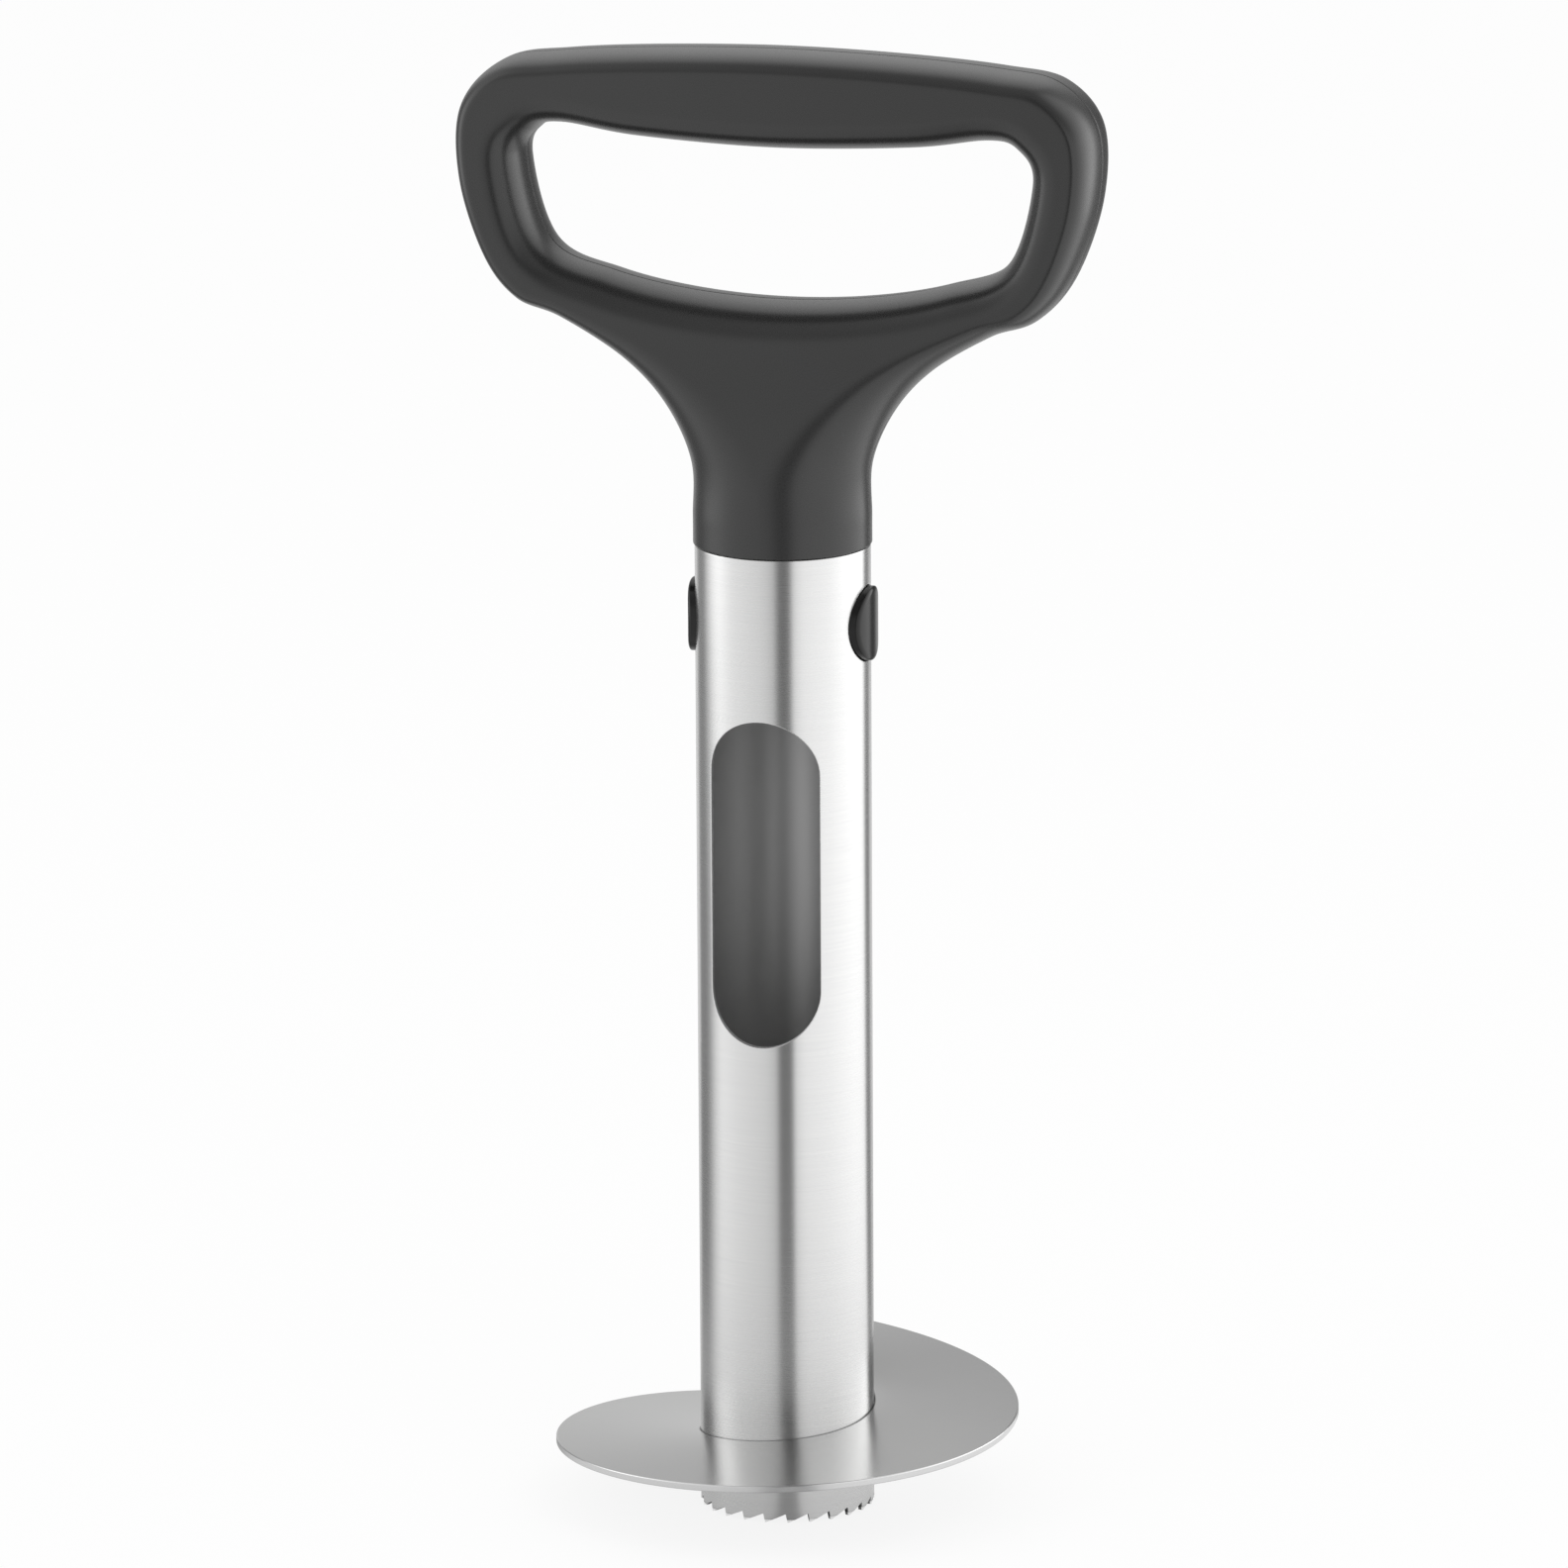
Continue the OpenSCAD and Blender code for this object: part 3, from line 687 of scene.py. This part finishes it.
class Finish:
    """A Principled material, with short ways to add nodes to it."""

    def __init__(self, name, **values):
        self.material = bpy.data.materials.new(name)
        self.material.use_nodes = True
        self.tree = self.material.node_tree
        self.shader = self.tree.nodes["Principled BSDF"]
        self.place = self.add("ShaderNodeTexCoord").outputs["Object"]
        for socket, value in values.items():
            self.shader.inputs[socket.replace("_", " ")].default_value = value

    def add(self, kind, **settings):
        node = self.tree.nodes.new(kind)
        for name, value in settings.items():
            setattr(node, name, value)
        return node

    def feed(self, socket, source):
        """Sets a socket to a value, or links it to another node's output."""
        if isinstance(source, bpy.types.NodeSocket):
            self.tree.links.new(source, socket)
        else:
            socket.default_value = source

    def noise(self, scale, detail=3.0, stretch=(1, 1, 1), offset=(0, 0, 0)):
        """Noise with a size of about 1 / scale metres, finer along the stretched axes."""
        mapping = self.add("ShaderNodeMapping")
        self.feed(mapping.inputs["Vector"], self.place)
        mapping.inputs["Scale"].default_value = stretch
        mapping.inputs["Location"].default_value = offset
        node = self.add("ShaderNodeTexNoise")
        self.feed(node.inputs["Vector"], mapping.outputs["Vector"])
        node.inputs["Scale"].default_value = scale
        node.inputs["Detail"].default_value = detail
        return node.outputs["Fac"]

    def radius(self):
        """Distance from the tube's axis in metres."""
        flat = self.add("ShaderNodeVectorMath", operation="MULTIPLY")
        self.feed(flat.inputs[0], self.place)
        flat.inputs[1].default_value = (1, 1, 0)
        length = self.add("ShaderNodeVectorMath", operation="LENGTH")
        self.feed(length.inputs[0], flat.outputs["Vector"])
        return length.outputs["Value"]

    def ramp(self, source, low, high, start=0.3, end=0.7):
        """Takes a pattern from start to end onto the range from low to high."""
        node = self.add("ShaderNodeMapRange")
        self.feed(node.inputs["Value"], source)
        for name, value in (("From Min", start), ("From Max", end), ("To Min", low), ("To Max", high)):
            node.inputs[name].default_value = value
        return node.outputs["Result"]

    def mix(self, factor, a, b):
        """From a to b by a factor, where each is a colour or an output."""
        node = self.add("ShaderNodeMix", data_type="RGBA")
        self.feed(node.inputs["Factor"], factor)
        for socket, value in ((node.inputs["A"], a), (node.inputs["B"], b)):
            self.feed(socket, (*value, 1) if isinstance(value, tuple) else value)
        return node.outputs["Result"]

    def mix_values(self, factor, a, b):
        node = self.add("ShaderNodeMix", data_type="FLOAT")
        self.feed(node.inputs["Factor"], factor)
        self.feed(node.inputs["A"], a)
        self.feed(node.inputs["B"], b)
        return node.outputs["Result"]

    def combine(self, a, b, weight):
        """a plus b times a weight."""
        node = self.add("ShaderNodeMath", operation="MULTIPLY_ADD")
        self.feed(node.inputs[0], b)
        node.inputs[1].default_value = weight
        self.feed(node.inputs[2], a)
        return node.outputs["Value"]

    def multiply(self, a, b):
        node = self.add("ShaderNodeMath", operation="MULTIPLY")
        self.feed(node.inputs[0], a)
        self.feed(node.inputs[1], b)
        return node.outputs["Value"]

    def bump(self, height, distance, strength):
        node = self.add("ShaderNodeBump")
        node.inputs["Distance"].default_value = distance
        node.inputs["Strength"].default_value = strength
        self.feed(node.inputs["Height"], height)
        self.feed(self.shader.inputs["Normal"], node.outputs["Normal"])

    def colour(self, source):
        self.feed(self.shader.inputs["Base Color"], source)

    def roughness(self, source):
        self.feed(self.shader.inputs["Roughness"], source)


def grey(value):
    return (value, value, value)


def brushed_tube_steel():
    """Stainless steel brushed round the tube: streaks long round it and thin up it. The bore keeps the
    duller skin of the rolled sheet.
    Its cut faces are lightened as a painted highlight along their edges, and darkened between the teeth
    as painted shade."""
    f = Finish("brushed_tube_steel", Metallic=1.0, Anisotropic=0.78, Anisotropic_Rotation=0.25)
    tangent = f.add("ShaderNodeTangent", direction_type="RADIAL", axis="Z")
    f.feed(f.shader.inputs["Tangent"], tangent.outputs["Tangent"])
    radius = f.radius()
    steel = f.ramp(radius, 0, 1, (BORE_R + 0.03) * MM, (BORE_R + 0.1) * MM)
    # Painted highlight: the cut faces through the wall get a light 0.9 grey so that their edges read as
    # bright lines
    cut = f.multiply(steel, f.ramp(radius, 1, 0, (TUBE_R - 0.35) * MM, (TUBE_R - 0.2) * MM))
    height = f.add("ShaderNodeSeparateXYZ")
    f.feed(height.inputs["Vector"], f.place)
    at_teeth = f.ramp(height.outputs["Z"], 1, 0, (TOOTH_DEPTH + 0.1) * MM, (TOOTH_DEPTH + 0.3) * MM)
    # Painted shade: the cut faces between the teeth, up to just above the gaps' roots, are coloured dark
    # grey
    painted_tooth_shade = f.multiply(at_teeth, cut)
    streaks = f.noise(55, detail=5, stretch=(1, 1, 45))
    fine = f.noise(110, detail=4, stretch=(1, 1, 70), offset=(3, 1, 7))
    clouds = f.noise(22, detail=2, stretch=(1, 1, 0.6))
    pattern = f.combine(streaks, fine, 0.6)
    brushed = f.mix(f.ramp(pattern, 0, 1, 0.5, 1.1), grey(0.762), (0.80, 0.80, 0.795))
    # Colours: the bore's grey, brushed streaks outside, the painted highlight grey on the cut faces and
    # the painted shade between the teeth
    f.colour(f.mix(painted_tooth_shade, f.mix(cut, f.mix(steel, grey(0.68), brushed), grey(0.9)), grey(0.1)))
    smooth = f.combine(f.ramp(clouds, 0.25, 0.29), f.ramp(fine, -1, 1), 0.012)
    f.roughness(f.mix_values(cut, f.mix_values(steel, 0.52, smooth), 0.5))
    f.bump(pattern, distance=0.00004, strength=0.035)
    return f.material


def satin_blade_steel():
    """Satin stainless sheet with a straight, very fine grain."""
    f = Finish("satin_blade_steel", Metallic=1.0, Anisotropic=0.2)
    grain = f.noise(70, detail=4, stretch=(1, 30, 30))
    clouds = f.noise(35, detail=3, offset=(5, 2, 1))
    radius = f.radius()
    # Painted shade: the blade darkens to 0.25 grey within half a millimetre of the tube, where the
    # corner is in shade
    painted_junction_shade = f.ramp(radius, 0, 1, (TUBE_R + 0.15) * MM, (TUBE_R + 0.5) * MM)
    # The outer rim is lightened to 0.82 grey: partly a polished edge, partly a painted highlight along
    # the rim
    rim = f.ramp(radius, 0, 1, (BLADE_R - 0.2) * MM, (BLADE_R - 0.1) * MM)
    satin = f.mix(f.ramp(clouds, 0, 1), grey(0.565), (0.59, 0.59, 0.585))
    f.colour(f.mix(rim, f.mix(painted_junction_shade, grey(0.25), satin), grey(0.82)))
    f.roughness(f.combine(f.ramp(clouds, 0.20, 0.22), f.ramp(grain, -1, 1), 0.01))
    f.bump(grain, distance=0.00003, strength=0.03)
    return f.material


def soft_black_plastic():
    """Matte soft-touch moulding with a fine even texture."""
    f = Finish("soft_black_plastic", Specular_IOR_Level=0.62)
    texture = f.noise(2600, detail=2)
    wear = f.noise(28, detail=3)
    f.colour(f.mix(f.ramp(wear, 0, 1), grey(0.0165), grey(0.0185)))
    f.roughness(f.combine(f.ramp(wear, 0.26, 0.29), f.ramp(texture, -1, 1), 0.02))
    f.bump(texture, distance=0.00002, strength=0.2)
    return f.material


def button_plastic():
    f = Finish("button_plastic", Specular_IOR_Level=0.39)
    texture = f.noise(3200, detail=2)
    f.colour(f.mix(f.ramp(texture, 0, 1), grey(0.003), grey(0.004)))
    f.roughness(f.ramp(texture, 0.16, 0.2))
    f.bump(texture, distance=0.00002, strength=0.2)
    return f.material


def inner_plastic():
    f = Finish("inner_plastic")
    texture = f.noise(900, detail=4)
    f.colour(f.mix(f.ramp(texture, 0, 1), grey(0.022), grey(0.034)))
    f.roughness(f.ramp(texture, 0.45, 0.6))
    f.bump(texture, distance=0.00005, strength=0.3)
    return f.material


def seal_rubber():
    f = Finish("seal_rubber")
    dust = f.noise(600, detail=4)
    f.colour(f.mix(f.ramp(dust, 0, 1), grey(0.012), grey(0.03)))
    f.roughness(f.ramp(dust, 0.5, 0.7))
    return f.material


def bright_steel(name, scale):
    """Turned or drawn bright steel with faint marks."""
    f = Finish(name, Metallic=1.0)
    marks = f.noise(scale, detail=4, stretch=(1, 1, 8))
    f.colour(f.mix(f.ramp(marks, 0, 1), grey(0.55), grey(0.68)))
    f.roughness(f.ramp(marks, 0.18, 0.32))
    f.bump(marks, distance=0.00001, strength=0.3)
    return f.material


def dress(node, material):
    """Gives a CAD node that keeps its shape its finish."""
    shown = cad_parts[node]
    shown.data.materials.clear()
    shown.data.materials.append(material)


# ---------------------------------------------------------------- studio

CAMERA_AZIMUTH = 16.0
CAMERA_ELEVATION = 13.22
CAMERA_ROLL = -0.31
CAMERA_DISTANCE = 2.069
CAMERA_LENS = 260.6


def towards(azimuth, elevation):
    """Unit vector from the object to a place by its degrees to the right of the front, and up."""
    a, e = math.radians(azimuth), math.radians(elevation)
    return Vector((math.sin(a) * math.cos(e), -math.cos(a) * math.cos(e), math.sin(e)))


def make_camera():
    """Looks at the middle of the object's box."""
    back = towards(CAMERA_AZIMUTH, CAMERA_ELEVATION)
    camera = add_object("camera", bpy.data.cameras.new("camera"))
    camera.data.lens = CAMERA_LENS
    camera.data.sensor_width = 36
    camera.location = Vector((0, 0, (cad_low.z + cad_high.z) / 2)) + back * CAMERA_DISTANCE
    camera.rotation_mode = "QUATERNION"
    camera.rotation_quaternion = (back.to_track_quat("Z", "Y")
                                  @ Quaternion((0, 0, 1), math.radians(CAMERA_ROLL)))
    camera.data.clip_end = 100
    bpy.context.scene.camera = camera


def only_in_reflections(thing):
    thing.visible_camera = False
    thing.visible_diffuse = False
    thing.visible_shadow = False
    thing.visible_transmission = False
    thing.visible_volume_scatter = False


def glowing(name, attribute):
    """A material that glows as strongly as a mesh attribute says."""
    material = bpy.data.materials.new(name)
    material.use_nodes = True
    tree = material.node_tree
    tree.nodes.clear()
    light = tree.nodes.new("ShaderNodeEmission")
    output = tree.nodes.new("ShaderNodeOutputMaterial")
    tree.links.new(light.outputs["Emission"], output.inputs["Surface"])
    level = tree.nodes.new("ShaderNodeAttribute")
    level.attribute_name = attribute
    tree.links.new(level.outputs["Fac"], light.inputs["Strength"])
    return material


# Brightness of the softboxes round the object at three heights, by degrees to the right of the
# camera. The dark gap in front is where the camera stands, and the two behind give the steel its
# dark edges.
WALL_LIGHT = [
    (-180, 0.74, 0.60, 1.0), (-152, 0.72, 0.60, 1.0), (-144, 0.24, 0.25, 0.7), (-124, 0.22, 0.3, 0.7),
    (-114, 0.40, 1.3, 0.9), (-104, 0.74, 1.7, 0.9), (-92, 0.98, 1.75, 1.1), (-70, 0.92, 0.95, 0.6),
    (-25, 0.78, 0.70, 0.3), (-13, 0.66, 0.55, 0.25), (-6, 0.16, 0.08, 0.1), (8, 0.16, 0.08, 0.1),
    (13, 0.90, 0.84, 0.25), (25, 1.05, 1.0, 0.3), (60, 1.14, 1.1, 0.5), (100, 1.26, 1.7, 1.2),
    (126, 1.26, 2.2, 1.2), (132, 0.2, 0.15, 0.5), (144, 0.2, 0.15, 0.5), (152, 0.66, 0.2, 1.0),
    (165, 0.70, 0.42, 1.0), (174, 0.74, 0.60, 1.0), (180, 0.74, 0.60, 1.0)]
TOP_LIGHT = 0.35
# The floor close to the object is lit more evenly: a share of the lowest column and a plain part
NEAR_SHARE, NEAR_LIGHT = 0.55, 0.35
# Radius and height in metres, the column of light (0 to 2 from WALL_LIGHT, 3 the top, 4 the near
# floor), and a factor for what lies in the tube's or the blade's shade
WALL_LEVELS = [(0.001, 0.0006, 0, 0.12), (0.0155, 0.0006, 0, 0.12), (0.0165, 0.0006, 4, 0.60),
               (0.05, 0.0006, 4, 0.64), (0.09, 0.0006, 4, 0.84), (0.20, 0.0006, 0, 0.9),
               (0.42, 0.0006, 0, 1), (0.42, 0.08, 0, 1), (0.42, 0.14, 1, 1), (0.42, 0.30, 1, 1),
               (0.42, 0.48, 2, 1), (0.34, 0.66, 2, 1), (0.16, 0.80, 3, 1), (0.003, 0.84, 3, 1)]
WALL_STEPS = 360


def make_reflector_wall():
    """Softboxes and flags that stand and lie round the object, which only reflections show."""
    turns = np.arange(WALL_STEPS) * 360 / WALL_STEPS
    angle = np.radians(turns + CAMERA_AZIMUTH - 90)
    ring = np.stack([np.cos(angle), np.sin(angle), 0 * angle], 1)
    points = np.vstack([ring * radius + (0, 0, z) for radius, z, _, _ in WALL_LEVELS])
    mesh = bpy.data.meshes.new("reflector_wall")
    mesh.from_pydata(points.tolist(), [], grid_faces(len(WALL_LEVELS), WALL_STEPS))
    glow = mesh.attributes.new("glow", "FLOAT", "POINT")
    stops = np.array(WALL_LIGHT)
    where = (turns + 180) % 360 - 180
    columns = [np.interp(where, stops[:, 0], stops[:, k]) for k in (1, 2, 3)]
    columns.append(np.full(WALL_STEPS, TOP_LIGHT))
    columns.append(NEAR_SHARE * columns[0] + NEAR_LIGHT)
    levels = [columns[k] * shade for _, _, k, shade in WALL_LEVELS]
    glow.data.foreach_set("value", np.concatenate(levels))
    mesh.materials.append(glowing("reflector_glow", attribute="glow"))
    wall = add_object("reflector_wall", mesh)
    only_in_reflections(wall)


SOFTBOX_AIM = Vector((0, 0, 0.15))
SOFTBOX_DISTANCE = 1.6
SOFTBOX_SIZE = 1.0


def make_softbox(name, azimuth, elevation, power):
    """An area light aimed at the object, by degrees to the right of the camera and up."""
    back = towards(azimuth + CAMERA_AZIMUTH, elevation)
    light = bpy.data.lights.new(name, "AREA")
    light.shape = "DISK"
    light.size = SOFTBOX_SIZE
    light.energy = power
    lamp = add_object(name, light)
    lamp.location = SOFTBOX_AIM + back * SOFTBOX_DISTANCE
    lamp.rotation_mode = "QUATERNION"
    lamp.rotation_quaternion = back.to_track_quat("Z", "Y")
    lamp.visible_glossy = False
    lamp.visible_camera = False


FLOOR_SIZE = 30.0


def make_floor():
    """A pale sheet that glows a little, so that it stays white and takes only a faint shade."""
    mesh = bpy.data.meshes.new("floor")
    h = FLOOR_SIZE / 2
    mesh.from_pydata([(-h, -h, 0), (h, -h, 0), (h, h, 0), (-h, h, 0)], [], [(0, 1, 2, 3)])
    f = Finish("pale_floor", Roughness=0.9, Specular_IOR_Level=0.0, Emission_Color=(1, 1, 1, 1),
               Emission_Strength=0.87)
    f.colour(f.mix(f.noise(6, detail=2), grey(0.1), grey(0.105)))
    mesh.materials.append(f.material)
    floor = add_object("floor", mesh)
    floor.location.z = cad_low.z


def make_world():
    """Even white light from all round, which reflections don't show."""
    world = bpy.data.worlds.new("studio")
    world.use_nodes = True
    background = world.node_tree.nodes["Background"]
    background.inputs["Color"].default_value = (1, 1, 1, 1)
    background.inputs["Strength"].default_value = 1.05
    world.cycles_visibility.glossy = False
    bpy.context.scene.world = world


# ---------------------------------------------------------------- the picture

make_camera()
make_floor()
make_world()
make_reflector_wall()
make_softbox("key_softbox", azimuth=35, elevation=50, power=4)
make_softbox("fill_softbox", azimuth=-60, elevation=35, power=2)

make_shells(soft_black_plastic())
make_tube(brushed_tube_steel())
make_blade(satin_blade_steel())
button_finish = button_plastic()
make_button("push_button_left", "button_left", "left_button", -1, button_finish)
make_button("push_button_right", "button_right", "right_button", 1, button_finish)
spring_finish = bright_steel("spring_steel", 400)
make_spring("return_spring_left", "spring_left", -1, spring_finish)
make_spring("return_spring_right", "spring_right", 1, spring_finish)
dress("lock_housing", inner_plastic())
dress("lock_cover", inner_plastic())
dress("seal_ring", seal_rubber())
hardware = bright_steel("hardware_steel", 250)
dress("cover_screws", hardware)
dress("tang_pins", hardware)

bpy.context.scene.view_settings.view_transform = "Standard"
